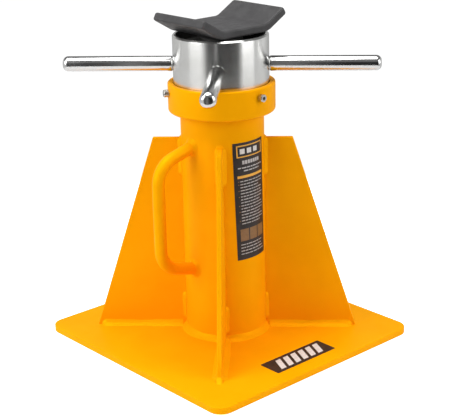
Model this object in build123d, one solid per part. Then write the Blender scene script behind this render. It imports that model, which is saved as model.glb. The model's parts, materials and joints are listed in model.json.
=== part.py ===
from build123d import *
import math
import os

# Screw axle stand: a welded stand (plate, column, four gussets), a rotating nut on a
# thrust bearing in the column head, and a lifting screw that carries a trough saddle.
# Millimetres, +Z up, origin on the column axis at the base plate's underside.

os.makedirs("parts", exist_ok=True)

# Base plate: its -Y edge stands a little further from the column than the other three
PLATE_WIDTH = 300.0
PLATE_DEPTH = 306.0
PLATE_SHIFT_Y = -3.0
PLATE_THICKNESS = 8.0
PLATE_CORNER_RADIUS = 16.0
EDGE_BREAK = 0.8

# Column
COLUMN_RADIUS = 47.0
COLUMN_WALL = 6.0
COLUMN_BORE = COLUMN_RADIUS - COLUMN_WALL

# Gussets, one on each diagonal of the plate
GUSSET_THICKNESS = 5.0
GUSSET_TOP_Z = 238.0
GUSSET_TOP_REACH = 79.0
GUSSET_FOOT_REACH = 152.5
GUSSET_ANGLES = {"front": 225.0, "right": 315.0, "rear": 45.0, "left": 135.0}

# Collar: the cup on the column head that holds the nut
COLLAR_RADIUS = 60.0
COLLAR_BORE = 54.0
COLLAR_BOTTOM_Z = 270.0
COLLAR_FLOOR = 6.0
COLLAR_TOP_Z = 302.5
COLLAR_FLOOR_Z = COLLAR_BOTTOM_Z + COLLAR_FLOOR
COLLAR_FOOT_ROUND = 3.0
COLLAR_RIM_ROUND = 1.6

# Thrust bearing between the collar floor and the nut
WASHER_THICKNESS = 2.5
WASHER_GAP = 3.0
WASHER_INNER = 42.5
WASHER_OUTER = 52.5
BALL_DIAMETER = 5.0
BALL_COUNT = 36
BALL_CIRCLE = 47.5
TRACK_CLEARANCE = 0.3
CAGE_THICKNESS = 1.6
CAGE_INSET = 1.0
CAGE_POCKET_CLEARANCE = 0.15
BEARING_HEIGHT = 2 * WASHER_THICKNESS + WASHER_GAP
BALL_Z = COLLAR_FLOOR_Z + BEARING_HEIGHT / 2

# Nut
NUT_RADIUS = 53.4
NUT_BOTTOM_Z = COLLAR_FLOOR_Z + BEARING_HEIGHT
NUT_TOP_Z = 356.0
NUT_CHAMFER = 1.8
NUT_SPIGOT_LENGTH = 20.0
RUNNING_CLEARANCE = 0.05
NUT_RECESS_RADIUS = 49.5
NUT_RECESS_DEPTH = 12.0
GROOVE_Z = 292.5
GROOVE_WIDTH = 6.0
GROOVE_DEPTH = 5.0

# Tommy bars, screwed into the nut
BAR_RADIUS = 8.5
BAR_TIP_ROUND = 6.0
BAR_ROOT_ROUND = 3.0
BAR_Z = 322.0
BAR_REACH = 176.5
BAR_SEAT = 52.6
BAR_SPIGOT_RADIUS = 5.0
BAR_SPIGOT_END = 34.0
BAR_ANGLES = {"front": 223.9, "right": 313.9, "rear": 43.9, "left": 133.9}

# Lifting screw and what is fixed to its lower end
SCREW_RADIUS = 25.0
SCREW_TOP_Z = 357.0
SCREW_SPIGOT_RADIUS = 12.0
SCREW_SPIGOT_LENGTH = 5.0
RING_BOTTOM_Z = 68.0
RING_THICKNESS = 12.0
RING_RADIUS = 40.5
RING_BORE = 18.0
RING_CHAMFER = 1.0
END_WASHER_RADIUS = 24.0
END_WASHER_THICKNESS = 4.0
END_BOLT_RADIUS = 6.0
END_BOLT_HEAD_RADIUS = 9.0
END_BOLT_HEAD_HEIGHT = 12.0
END_BOLT_LENGTH = 40.0
END_BOLT_HEAD_ROUND = 1.0
END_BOLT_SOCKET_FLATS = 10.0
END_BOLT_SOCKET_DEPTH = 6.0

# Guide rail inside the column, which stops the screw from turning
RAIL_WIDTH = 12.0
RAIL_DEPTH = 8.0
RAIL_BOTTOM_Z = 50.0
RAIL_TOP_Z = 256.0
RAIL_CLEARANCE = 0.4

# Saddle: a thick plate bent to a trough that runs along Y
SADDLE_THICKNESS = 9.5
SADDLE_LENGTH = 82.0
SADDLE_FLAT_HALF = 26.0
SADDLE_BEND_RADIUS = 18.0
SADDLE_WING_ANGLE = 30.0
SADDLE_WING_LENGTH = 26.0
SADDLE_EDGE_BREAK = 2.0

# Collar screws
SCREW_ANGLES = [272.0, 32.0, 152.0]
COLLAR_SCREW_RADIUS = 2.5
COLLAR_SCREW_HEAD_RADIUS = 4.25
COLLAR_SCREW_HEAD_HEIGHT = 5.0
COLLAR_SCREW_HEAD_BREAK = 0.5
COLLAR_SCREW_STANDOFF = 1.0
COLLAR_SCREW_TIP = 49.6
SOCKET_ACROSS_FLATS = 4.0
SOCKET_DEPTH = 2.5

# Carrying handle on the -X side
HANDLE_ROD_RADIUS = 7.0
HANDLE_REACH = 95.0
HANDLE_MID_Z = 163.3
HANDLE_ROOT_HALF = 72.5
HANDLE_BEND_HALF = 59.0
HANDLE_BEND_RADIUS = 28.0

# Welds
WELD_LEG = 6.0
COLLAR_WELD_LEG = 3.0
BASE_BEAD_LEG = 6.0
BASE_BEAD_END = 148.5
STITCH_LEG = 4.0
LOWER_STITCH = (16.5, 50.0)
UPPER_STITCH = (194.0, GUSSET_TOP_Z)
TOP_BEAD_LEG = 3.0
TOE_BEAD_ANGLE = GUSSET_ANGLES["front"]
TOE_BEAD_LEG = 5.0
TOE_BEAD_SETBACK = 2.0
TOE_BEAD_WRAP = 1.5
HANDLE_WELD_LEG = 3.5
HANDLE_WELD_TAIL = 2.0
SADDLE_WELD_LEG = 5.0
RAIL_BEAD_LEG = 3.0
RAIL_BEAD_LENGTH = 25.0

# Labels
LABEL_THICKNESS = 0.3
COLUMN_LABEL_WIDTH = 43.5
COLUMN_LABEL_HEIGHT = 137.0
COLUMN_LABEL_Z = 174.0
COLUMN_LABEL_LEAN = -1.8
BASE_LABEL_SIZE = (90.0, 28.5)
BASE_LABEL_CENTRE = (-3.0, -122.8)
BASE_LABEL_CORNER = 1.5

FIX = (Align.CENTER, Align.CENTER, Align.MIN)


def rod(radius, bottom, top):
    """Solid cylinder on the Z axis between two heights."""
    return Pos(0, 0, bottom) * Cylinder(radius, top - bottom, align=FIX)


def ring(outer, inner, bottom, top):
    """Plain ring on the Z axis between two heights."""
    return rod(outer, bottom, top) - rod(inner, bottom - 1, top + 1)


def revolved(points):
    """Closed (radius, height) outline turned about the Z axis."""
    outline = Plane.XZ * make_face(Polyline(*points, close=True))
    return revolve(outline, Axis.Z)


def radial(angle, height):
    """Location whose +Z points outward along a radius at this height."""
    return Location((0, 0, height)) * Rot(0, 0, angle) * Rot(0, 90, 0)


def prism_up(points, bottom, top):
    """Closed (x, y) outline raised between two heights."""
    face = make_face(Polyline(*points, close=True))
    return Pos(0, 0, bottom) * extrude(face, top - bottom)


def base_plate():
    plate = extrude(RectangleRounded(PLATE_WIDTH, PLATE_DEPTH, PLATE_CORNER_RADIUS), PLATE_THICKNESS)
    plate = chamfer(plate.faces().sort_by(Axis.Z)[-1].edges(), EDGE_BREAK)
    return Pos(0, PLATE_SHIFT_Y, 0) * plate


def column_tube():
    return ring(COLUMN_RADIUS, COLUMN_BORE, PLATE_THICKNESS, COLLAR_FLOOR_Z)


def gusset(angle):
    half = GUSSET_THICKNESS / 2
    outline = Polyline(
        (COLUMN_BORE, PLATE_THICKNESS),
        (GUSSET_FOOT_REACH, PLATE_THICKNESS),
        (GUSSET_TOP_REACH, GUSSET_TOP_Z),
        (COLUMN_BORE, GUSSET_TOP_Z),
        close=True,
    )
    web = extrude(Plane.XZ * make_face(outline), half, both=True)
    web -= rod(COLUMN_RADIUS, 0, GUSSET_TOP_Z + 1)
    web -= column_foot_weld()
    return Rot(0, 0, angle) * web


def collar():
    cup = rod(COLLAR_RADIUS, COLLAR_BOTTOM_Z, COLLAR_TOP_Z)
    cup = fillet(cup.edges().group_by(Axis.Z)[0], COLLAR_FOOT_ROUND)
    cup = fillet(cup.edges().group_by(Axis.Z)[-1], COLLAR_RIM_ROUND)
    cup -= rod(COLLAR_BORE, COLLAR_FLOOR_Z, COLLAR_TOP_Z + 1)
    cup -= rod(COLUMN_RADIUS, COLLAR_BOTTOM_Z - 1, COLLAR_FLOOR_Z + 1)
    for angle in SCREW_ANGLES:
        cup -= radial(angle, GROOVE_Z) * rod(COLLAR_SCREW_RADIUS, 0, COLLAR_RADIUS + 1)
    return cup


def track():
    """Torus-shaped space that the balls run in, a little larger than the balls."""
    return Pos(0, 0, BALL_Z) * Torus(BALL_CIRCLE, BALL_DIAMETER / 2 + TRACK_CLEARANCE)


def bearing_washer(bottom):
    washer = ring(WASHER_OUTER, WASHER_INNER, bottom, bottom + WASHER_THICKNESS)
    return washer - track()


def ball_places():
    """Locations of the ball centres round the bearing."""
    step = 360.0 / BALL_COUNT
    return [Rot(0, 0, i * step) * Pos(BALL_CIRCLE, 0, BALL_Z) for i in range(BALL_COUNT)]


def bearing_balls():
    return [place * Sphere(BALL_DIAMETER / 2) for place in ball_places()]


def ball_cage():
    half = CAGE_THICKNESS / 2
    outer = WASHER_OUTER - CAGE_INSET
    inner = WASHER_INNER + CAGE_INSET
    cage = ring(outer, inner, BALL_Z - half, BALL_Z + half)
    pocket = Cylinder(BALL_DIAMETER / 2 + CAGE_POCKET_CLEARANCE, 2 * CAGE_THICKNESS)
    for place in ball_places():
        cage -= place * pocket
    return cage


def lifting_nut():
    spigot_radius = COLUMN_BORE - RUNNING_CLEARANCE
    body = rod(NUT_RADIUS, NUT_BOTTOM_Z, NUT_TOP_Z)
    body = chamfer(body.edges().group_by(Axis.Z)[-1], NUT_CHAMFER)
    body += rod(spigot_radius, NUT_BOTTOM_Z - NUT_SPIGOT_LENGTH, NUT_BOTTOM_Z)
    body -= rod(SCREW_RADIUS + RUNNING_CLEARANCE, 0, NUT_TOP_Z + 1)
    body -= rod(NUT_RECESS_RADIUS, NUT_TOP_Z - NUT_RECESS_DEPTH, NUT_TOP_Z + 1)
    groove_half = GROOVE_WIDTH / 2
    groove_bottom = NUT_RADIUS - GROOVE_DEPTH
    body -= ring(NUT_RADIUS + 1, groove_bottom, GROOVE_Z - groove_half, GROOVE_Z + groove_half)
    for angle in BAR_ANGLES.values():
        seat = rod(BAR_RADIUS, BAR_SEAT, NUT_RADIUS + 1)
        tapped_hole = rod(BAR_SPIGOT_RADIUS, BAR_SPIGOT_END, BAR_SEAT + 1)
        body -= radial(angle, BAR_Z) * seat
        body -= radial(angle, BAR_Z) * tapped_hole
    return body


def tommy_bar(angle):
    """Bar along +Z with a threaded spigot, a rounded shoulder and a rounded tip, then laid out."""
    spigot = rod(BAR_SPIGOT_RADIUS, BAR_SPIGOT_END, BAR_SEAT)
    shank = rod(BAR_RADIUS, BAR_SEAT, BAR_REACH)
    shank = fillet(shank.edges().group_by(Axis.Z)[-1], BAR_TIP_ROUND)
    shank = fillet(shank.edges().group_by(Axis.Z)[0], BAR_ROOT_ROUND)
    return radial(angle, BAR_Z) * (spigot + shank)


def channel(half_width, depth, bottom, top):
    """Block on the +X side that reaches inward from the column bore by this depth."""
    inner = COLUMN_BORE - depth
    outer = COLUMN_BORE + 1
    points = [(inner, -half_width), (outer, -half_width), (outer, half_width), (inner, half_width)]
    return prism_up(points, bottom, top)


def guide_rail():
    bar = channel(RAIL_WIDTH / 2, RAIL_DEPTH, RAIL_BOTTOM_Z, RAIL_TOP_Z)
    return bar & rod(COLUMN_BORE, RAIL_BOTTOM_Z, RAIL_TOP_Z)


def rail_welds():
    """Short fillet beads beside the rail near its two ends."""
    half = RAIL_WIDTH / 2
    start = math.sqrt(COLUMN_BORE**2 - half**2) - RAIL_BEAD_LEG
    beads = []
    for bottom in (RAIL_BOTTOM_Z, RAIL_TOP_Z - RAIL_BEAD_LENGTH):
        top = bottom + RAIL_BEAD_LENGTH
        for side in (-1, 1):
            toe = side * (half + RAIL_BEAD_LEG)
            points = [(start, side * half), (COLUMN_BORE + 1, side * half), (COLUMN_BORE + 1, toe)]
            beads.append(prism_up(points, bottom, top) & rod(COLUMN_BORE, bottom, top))
    return beads


def lifting_screw():
    ring_top = RING_BOTTOM_Z + RING_THICKNESS
    shaft = rod(SCREW_RADIUS, ring_top, SCREW_TOP_Z)
    shaft += rod(RING_BORE, RING_BOTTOM_Z, ring_top)
    shaft += rod(SCREW_SPIGOT_RADIUS, SCREW_TOP_Z, SCREW_TOP_Z + SCREW_SPIGOT_LENGTH)
    bolt_top = RING_BOTTOM_Z - END_WASHER_THICKNESS + END_BOLT_LENGTH
    shaft -= rod(END_BOLT_RADIUS, RING_BOTTOM_Z - 1, bolt_top)
    return shaft


def guide_ring():
    """Disc slotted for the rail, with room beside the slot for the rail's weld beads."""
    top = RING_BOTTOM_Z + RING_THICKNESS
    disc = ring(RING_RADIUS, RING_BORE, RING_BOTTOM_Z, top)
    disc = chamfer(disc.edges().filter_by(GeomType.CIRCLE).sort_by(SortBy.RADIUS)[-2:], RING_CHAMFER)
    slot = channel(RAIL_WIDTH / 2 + RAIL_CLEARANCE, RAIL_DEPTH + RAIL_CLEARANCE, RING_BOTTOM_Z, top)
    relief = channel(RAIL_WIDTH / 2 + 2 * RAIL_BEAD_LEG, RAIL_BEAD_LEG + 2, RING_BOTTOM_Z, top)
    return disc - slot - relief


def end_washer():
    return ring(END_WASHER_RADIUS, END_BOLT_RADIUS, RING_BOTTOM_Z - END_WASHER_THICKNESS, RING_BOTTOM_Z)


def hex_socket(across_flats, depth):
    """Hexagonal recess that opens at +Z."""
    return extrude(RegularPolygon(across_flats / 2, 6, major_radius=False), depth)


def end_bolt():
    head_top = RING_BOTTOM_Z - END_WASHER_THICKNESS
    head_bottom = head_top - END_BOLT_HEAD_HEIGHT
    head = rod(END_BOLT_HEAD_RADIUS, head_bottom, head_top)
    head = fillet(head.edges().group_by(Axis.Z)[0], END_BOLT_HEAD_ROUND)
    shank = rod(END_BOLT_RADIUS, head_top, head_top + END_BOLT_LENGTH)
    socket = Pos(0, 0, head_bottom) * hex_socket(END_BOLT_SOCKET_FLATS, END_BOLT_SOCKET_DEPTH)
    return head + shank - socket


def wing_points(offset):
    """Corners of the +X half of one saddle face, at this height above the underside."""
    turn = math.radians(SADDLE_WING_ANGLE)
    radius = SADDLE_BEND_RADIUS + SADDLE_THICKNESS - offset
    centre_z = SADDLE_THICKNESS + SADDLE_BEND_RADIUS
    mid = (SADDLE_FLAT_HALF + radius * math.sin(turn / 2), centre_z - radius * math.cos(turn / 2))
    end = (SADDLE_FLAT_HALF + radius * math.sin(turn), centre_z - radius * math.cos(turn))
    run = (SADDLE_WING_LENGTH * math.cos(turn), SADDLE_WING_LENGTH * math.sin(turn))
    return (SADDLE_FLAT_HALF, offset), mid, end, (end[0] + run[0], end[1] + run[1])


def mirrored(point):
    return (-point[0], point[1])


def saddle():
    under = wing_points(0.0)
    seat = wing_points(SADDLE_THICKNESS)
    outline = Line(mirrored(under[0]), under[0])
    outline += ThreePointArc(under[0], under[1], under[2])
    outline += Line(under[2], under[3])
    outline += Line(under[3], seat[3])
    outline += Line(seat[3], seat[2])
    outline += ThreePointArc(seat[2], seat[1], seat[0])
    outline += Line(seat[0], mirrored(seat[0]))
    outline += ThreePointArc(mirrored(seat[0]), mirrored(seat[1]), mirrored(seat[2]))
    outline += Line(mirrored(seat[2]), mirrored(seat[3]))
    outline += Line(mirrored(seat[3]), mirrored(under[3]))
    outline += Line(mirrored(under[3]), mirrored(under[2]))
    outline += ThreePointArc(mirrored(under[2]), mirrored(under[1]), mirrored(under[0]))
    plate = extrude(Plane.XZ * make_face(outline), SADDLE_LENGTH / 2, both=True)
    ends = plate.faces().sort_by(Axis.Y)
    tips = plate.faces().sort_by(Axis.X)
    rims = ends[0].edges() + ends[-1].edges() + tips[0].edges() + tips[-1].edges()
    plate = chamfer(rims, SADDLE_EDGE_BREAK)
    plate = Pos(0, 0, SCREW_TOP_Z) * plate
    return plate - rod(SCREW_SPIGOT_RADIUS, SCREW_TOP_Z - 1, SCREW_TOP_Z + SCREW_SPIGOT_LENGTH)


def collar_screws():
    """Cap screws whose plain tips run in the nut's groove."""
    head_start = COLLAR_RADIUS + COLLAR_SCREW_STANDOFF
    head_end = head_start + COLLAR_SCREW_HEAD_HEIGHT
    head = rod(COLLAR_SCREW_HEAD_RADIUS, head_start, head_end)
    head = chamfer(head.edges().group_by(Axis.Z)[-1], COLLAR_SCREW_HEAD_BREAK)
    shank = rod(COLLAR_SCREW_RADIUS, COLLAR_SCREW_TIP, head_start)
    socket = Pos(0, 0, head_end - SOCKET_DEPTH) * hex_socket(SOCKET_ACROSS_FLATS, SOCKET_DEPTH)
    screw = head + shank - socket
    return [radial(angle, GROOVE_Z) * screw for angle in SCREW_ANGLES]


def handle_corners():
    """Corners (x, z) of the handle's centreline; its ends start inside the column wall."""
    root = COLUMN_RADIUS - COLUMN_WALL / 2
    return [
        (-root, HANDLE_MID_Z + HANDLE_ROOT_HALF),
        (-HANDLE_REACH, HANDLE_MID_Z + HANDLE_BEND_HALF),
        (-HANDLE_REACH, HANDLE_MID_Z - HANDLE_BEND_HALF),
        (-root, HANDLE_MID_Z - HANDLE_ROOT_HALF),
    ]


def handle_rod():
    points = [(x, 0, z) for x, z in handle_corners()]
    path = FilletPolyline(*points, radius=HANDLE_BEND_RADIUS)
    section = Plane(origin=path @ 0, z_dir=path % 0) * Circle(HANDLE_ROD_RADIUS)
    return sweep(section, path)


def carry_handle():
    return handle_rod() - rod(COLUMN_RADIUS, 0, COLLAR_BOTTOM_Z)


def handle_welds():
    """Conical fillets where the two legs meet the column."""
    corners = handle_corners()
    grip = handle_rod()
    column = rod(COLUMN_RADIUS, 0, COLLAR_BOTTOM_Z)
    toe = HANDLE_ROD_RADIUS + HANDLE_WELD_LEG + COLUMN_WALL / 2
    reach = HANDLE_WELD_LEG + COLUMN_WALL / 2
    beads = []
    for root, bend in ((corners[0], corners[1]), (corners[3], corners[2])):
        out = Vector(bend[0] - root[0], 0, bend[1] - root[1])
        cone = Cone(toe, HANDLE_ROD_RADIUS, reach + HANDLE_WELD_TAIL, align=FIX)
        beads.append(Plane(origin=(root[0], 0, root[1]), z_dir=out) * cone - column - grip)
    return beads


def column_foot_weld():
    toe = COLUMN_RADIUS + WELD_LEG
    crown = PLATE_THICKNESS + WELD_LEG
    return revolved([(COLUMN_RADIUS, PLATE_THICKNESS), (toe, PLATE_THICKNESS), (COLUMN_RADIUS, crown)])


def collar_weld():
    toe = COLUMN_RADIUS + COLLAR_WELD_LEG
    foot = COLLAR_BOTTOM_Z - COLLAR_WELD_LEG
    return revolved([(COLUMN_RADIUS, COLLAR_BOTTOM_Z), (COLUMN_RADIUS, foot), (toe, COLLAR_BOTTOM_Z)])


def saddle_weld():
    toe = SCREW_RADIUS + SADDLE_WELD_LEG
    foot = SCREW_TOP_Z - SADDLE_WELD_LEG
    return revolved([(SCREW_RADIUS, SCREW_TOP_Z), (SCREW_RADIUS, foot), (toe, SCREW_TOP_Z)])


def gusset_welds(angle):
    """Beads along a gusset's foot and stitches up the column on both its sides, with one over its top."""
    half = GUSSET_THICKNESS / 2
    edge = math.sqrt(COLUMN_RADIUS**2 - half**2)
    column = rod(COLUMN_RADIUS, 0, COLLAR_BOTTOM_Z)
    foot_weld = column_foot_weld()
    beads = []
    for side in (-1, 1):
        section = Polyline(
            (side * half, PLATE_THICKNESS),
            (side * (half + BASE_BEAD_LEG), PLATE_THICKNESS),
            (side * half, PLATE_THICKNESS + BASE_BEAD_LEG),
            close=True,
        )
        run = extrude(Plane.YZ * make_face(section), BASE_BEAD_END)
        beads.append(run - column - foot_weld)
        corner = [
            (edge - 1, side * half),
            (edge + STITCH_LEG, side * half),
            (edge - 1, side * (half + STITCH_LEG + 1)),
        ]
        for bottom, top in (LOWER_STITCH, UPPER_STITCH):
            beads.append(prism_up(corner, bottom, top) - column)
    beads.append(top_bead() - column)
    beads = [Rot(0, 0, angle) * bead for bead in beads]
    if angle == TOE_BEAD_ANGLE:
        beads.append(toe_bead(angle))
    return beads


def top_bead():
    """Bead between the column and the top end of a gusset that points along +X."""
    inner = COLUMN_RADIUS - 1
    section = Polyline(
        (inner, GUSSET_TOP_Z),
        (COLUMN_RADIUS + TOP_BEAD_LEG, GUSSET_TOP_Z),
        (inner, GUSSET_TOP_Z + TOP_BEAD_LEG + 1),
        close=True,
    )
    return extrude(Plane.XZ * make_face(section), GUSSET_THICKNESS / 2, both=True)


def toe_bead(angle):
    """Bead across the outer end of a gusset's foot and a little way round its corners."""
    inner = GUSSET_FOOT_REACH - TOE_BEAD_SETBACK
    section = Polyline(
        (inner, PLATE_THICKNESS),
        (GUSSET_FOOT_REACH + TOE_BEAD_LEG, PLATE_THICKNESS),
        (inner, PLATE_THICKNESS + TOE_BEAD_LEG),
        close=True,
    )
    bar = extrude(Plane.XZ * make_face(section), GUSSET_THICKNESS / 2 + TOE_BEAD_WRAP, both=True)
    return Rot(0, 0, angle) * bar - gusset(angle)


def column_label():
    """Film wrapped on the -Y side of the column, leaning a little out of true."""
    half_turn = COLUMN_LABEL_WIDTH / 2 / COLUMN_RADIUS
    half_height = COLUMN_LABEL_HEIGHT / 2
    skin = ring(
        COLUMN_RADIUS + LABEL_THICKNESS,
        COLUMN_RADIUS,
        COLUMN_LABEL_Z - COLUMN_LABEL_HEIGHT,
        COLUMN_LABEL_Z + COLUMN_LABEL_HEIGHT,
    )
    reach = 2 * COLUMN_RADIUS
    half_width = reach * math.tan(half_turn)
    wedge = prism_up([(0, 0), (half_width, -reach), (-half_width, -reach)], -half_height, half_height)
    return skin & (Pos(0, 0, COLUMN_LABEL_Z) * Rot(0, COLUMN_LABEL_LEAN, 0) * wedge)


def base_label():
    width, height = BASE_LABEL_SIZE
    x, y = BASE_LABEL_CENTRE
    film = extrude(RectangleRounded(width, height, BASE_LABEL_CORNER), LABEL_THICKNESS)
    return Pos(x, y, PLATE_THICKNESS) * film


def write(name, made):
    """Save one node; a list is a group of separate solids."""
    shape = Compound(children=made) if isinstance(made, list) else made
    export_step(shape, "parts/" + name + ".step")


write("base_plate", base_plate())
write("column_tube", column_tube())
write("collar", collar())
write("carry_handle", carry_handle())
for place, heading in GUSSET_ANGLES.items():
    write("gusset_" + place, gusset(heading))
    write("gusset_welds_" + place, gusset_welds(heading))
write("column_foot_weld", column_foot_weld())
write("collar_weld", collar_weld())
write("handle_welds", handle_welds())
write("guide_rail", guide_rail())
write("rail_welds", rail_welds())
write("collar_screws", collar_screws())
write("column_label", column_label())
write("base_label", base_label())
write("bearing_lower_washer", bearing_washer(COLLAR_FLOOR_Z))
write("bearing_upper_washer", bearing_washer(NUT_BOTTOM_Z - WASHER_THICKNESS))
write("bearing_balls", bearing_balls())
write("ball_cage", ball_cage())
write("lifting_nut", lifting_nut())
for place, heading in BAR_ANGLES.items():
    write("tommy_bar_" + place, tommy_bar(heading))
write("lifting_screw", lifting_screw())
write("guide_ring", guide_ring())
write("end_washer", end_washer())
write("end_bolt", end_bolt())
write("saddle", saddle())
write("saddle_weld", saddle_weld())
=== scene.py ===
import json
import math
import random

import bmesh
import bpy
from mathutils import Matrix, Vector


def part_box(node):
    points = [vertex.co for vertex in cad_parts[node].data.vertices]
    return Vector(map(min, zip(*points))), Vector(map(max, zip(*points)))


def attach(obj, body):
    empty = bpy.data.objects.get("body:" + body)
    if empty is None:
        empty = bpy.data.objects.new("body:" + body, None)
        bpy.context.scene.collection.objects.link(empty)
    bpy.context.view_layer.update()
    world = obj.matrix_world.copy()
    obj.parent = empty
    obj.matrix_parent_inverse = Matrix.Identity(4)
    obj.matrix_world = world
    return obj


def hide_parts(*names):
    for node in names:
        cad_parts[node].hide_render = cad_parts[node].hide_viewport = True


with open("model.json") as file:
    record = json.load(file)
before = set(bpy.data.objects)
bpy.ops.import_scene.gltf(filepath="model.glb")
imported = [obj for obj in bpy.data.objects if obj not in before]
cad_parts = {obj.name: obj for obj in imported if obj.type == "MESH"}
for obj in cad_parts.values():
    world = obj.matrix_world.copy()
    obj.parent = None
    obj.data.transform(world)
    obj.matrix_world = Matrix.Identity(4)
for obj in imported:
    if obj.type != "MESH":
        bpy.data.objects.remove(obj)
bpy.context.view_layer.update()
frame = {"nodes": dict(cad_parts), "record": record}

MM = 0.001


# ---------------------------------------------------------------- camera

def build_camera():
    """Camera aimed at the column axis, with a small pan, tilt and roll of its own."""
    azimuth = math.radians(-41.602)
    elevation = math.radians(18.975)
    roll = math.radians(-1.214)
    pan = math.radians(0.304)
    tilt = math.radians(0.129)
    distance = 1.38772
    aim = Vector((0, 0, 0.150))
    sensor = 36.0
    focal_in_widths = 2.61546
    away = Vector((
        math.sin(azimuth) * math.cos(elevation),
        -math.cos(azimuth) * math.cos(elevation),
        math.sin(elevation),
    ))
    ahead = -away
    right = ahead.cross(Vector((0, 0, 1))).normalized()
    up = right.cross(ahead)
    ahead = ahead * math.cos(pan) + right * math.sin(pan)
    right = ahead.cross(up)
    ahead = ahead * math.cos(tilt) + up * math.sin(tilt)
    up = right.cross(ahead)
    rolled_right = right * math.cos(roll) + up * math.sin(roll)
    rolled_up = up * math.cos(roll) - right * math.sin(roll)
    data = bpy.data.cameras.new("camera")
    data.sensor_width = sensor
    data.lens = focal_in_widths * sensor
    data.clip_start = 0.01
    camera = bpy.data.objects.new("camera", data)
    turn = Matrix((rolled_right, rolled_up, -ahead)).transposed().to_4x4()
    camera.matrix_world = Matrix.Translation(aim + away * distance) @ turn
    bpy.context.scene.collection.objects.link(camera)
    bpy.context.scene.camera = camera


# ---------------------------------------------------------------- material tools

class Paint:
    """A Principled material and short names for the nodes that shape it."""

    def __init__(self, name, colour, roughness, metallic=0.0):
        self.material = bpy.data.materials.new(name)
        self.material.use_nodes = True
        self.tree = self.material.node_tree
        self.shader = self.tree.nodes["Principled BSDF"]
        self.set("Base Color", (*colour, 1.0))
        self.set("Roughness", roughness)
        self.set("Metallic", metallic)
        self.place = self.node("ShaderNodeTexCoord").outputs["Object"]

    def set(self, socket, value):
        self.shader.inputs[socket].default_value = value

    def node(self, kind, **values):
        made = self.tree.nodes.new(kind)
        for name, value in values.items():
            setattr(made, name, value)
        return made

    def link(self, source, target):
        self.tree.links.new(source, target)

    def stretched(self, scale):
        mapping = self.node("ShaderNodeMapping")
        mapping.inputs["Scale"].default_value = scale
        self.link(self.place, mapping.inputs["Vector"])
        return mapping.outputs["Vector"]

    def noise(self, scale, detail=2.0, rough=0.5, vector=None):
        texture = self.node("ShaderNodeTexNoise")
        texture.inputs["Scale"].default_value = scale
        texture.inputs["Detail"].default_value = detail
        texture.inputs["Roughness"].default_value = rough
        self.link(vector or self.place, texture.inputs["Vector"])
        return texture.outputs["Fac"]

    def cells(self, scale):
        texture = self.node("ShaderNodeTexVoronoi")
        texture.inputs["Scale"].default_value = scale
        self.link(self.place, texture.inputs["Vector"])
        return texture.outputs["Distance"]

    def spread(self, value, low, high, to_low=0.0, to_high=1.0):
        change = self.node("ShaderNodeMapRange")
        names = ("From Min", "From Max", "To Min", "To Max")
        for name, number in zip(names, (low, high, to_low, to_high)):
            change.inputs[name].default_value = number
        self.link(value, change.inputs["Value"])
        return change.outputs["Result"]

    def math(self, operation, a, b):
        made = self.node("ShaderNodeMath", operation=operation)
        for socket, value in zip(made.inputs, (a, b)):
            if isinstance(value, (int, float)):
                socket.default_value = value
            else:
                self.link(value, socket)
        return made.outputs[0]

    def mix(self, factor, a, b):
        made = self.node("ShaderNodeMix", data_type="RGBA")
        self.link(factor, made.inputs["Factor"])
        for socket, value in ((made.inputs[6], a), (made.inputs[7], b)):
            if isinstance(value, tuple):
                socket.default_value = (*value, 1.0)
            else:
                self.link(value, socket)
        return made.outputs[2]

    def edges(self, radius):
        """1 on convex edges and in sharp corners, 0 on flat stretches."""
        bevel = self.node("ShaderNodeBevel", samples=4)
        bevel.inputs["Radius"].default_value = radius
        flat = self.node("ShaderNodeNewGeometry").outputs["Normal"]
        dot = self.node("ShaderNodeVectorMath", operation="DOT_PRODUCT")
        self.link(bevel.outputs["Normal"], dot.inputs[0])
        self.link(flat, dot.inputs[1])
        return self.spread(dot.outputs["Value"], 1.0, 0.82)

    def bump(self, height, distance, strength, under=None):
        made = self.node("ShaderNodeBump")
        made.inputs["Distance"].default_value = distance
        made.inputs["Strength"].default_value = strength
        self.link(height, made.inputs["Height"])
        if under is not None:
            self.link(under, made.inputs["Normal"])
        return made.outputs["Normal"]

    def use(self, socket, source):
        self.link(source, self.shader.inputs[socket])


def yellow_paint():
    """Semi-gloss powder coat: orange peel, slow drift in tone, a painted highlight on thin edges
    (partly a thinner coat there), dust nibs.
    """
    paint = Paint("yellow_paint", (0.93, 0.39, 0.002), 0.38, 0.1)
    drift = paint.spread(paint.noise(14, 3), 0.35, 0.65)
    colour = paint.mix(drift, (0.90, 0.370, 0.001), (0.95, 0.400, 0.002))
    # Convex edges mixed lighter: a painted edge highlight, partly the thinner coat on sharp
    # edges.
    rim = paint.math("MULTIPLY", paint.edges(1.2 * MM), 0.2)
    colour = paint.mix(rim, colour, (1.0, 0.50, 0.004))
    paint.use("Base Color", colour)
    paint.use("Roughness", paint.spread(paint.noise(60, 4), 0.3, 0.7, 0.34, 0.44))
    peel = paint.bump(paint.noise(420, 2, 0.4), 0.00012, 0.55)
    nibs = paint.spread(paint.cells(95), 0.0, 0.09, 1.0, 0.0)
    paint.use("Normal", paint.bump(nibs, 0.0001, 0.6, peel))
    paint.set("Specular IOR Level", 0.03)
    paint.set("Specular Tint", (1.0, 0.62, 0.06, 1.0))
    return paint.material


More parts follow.
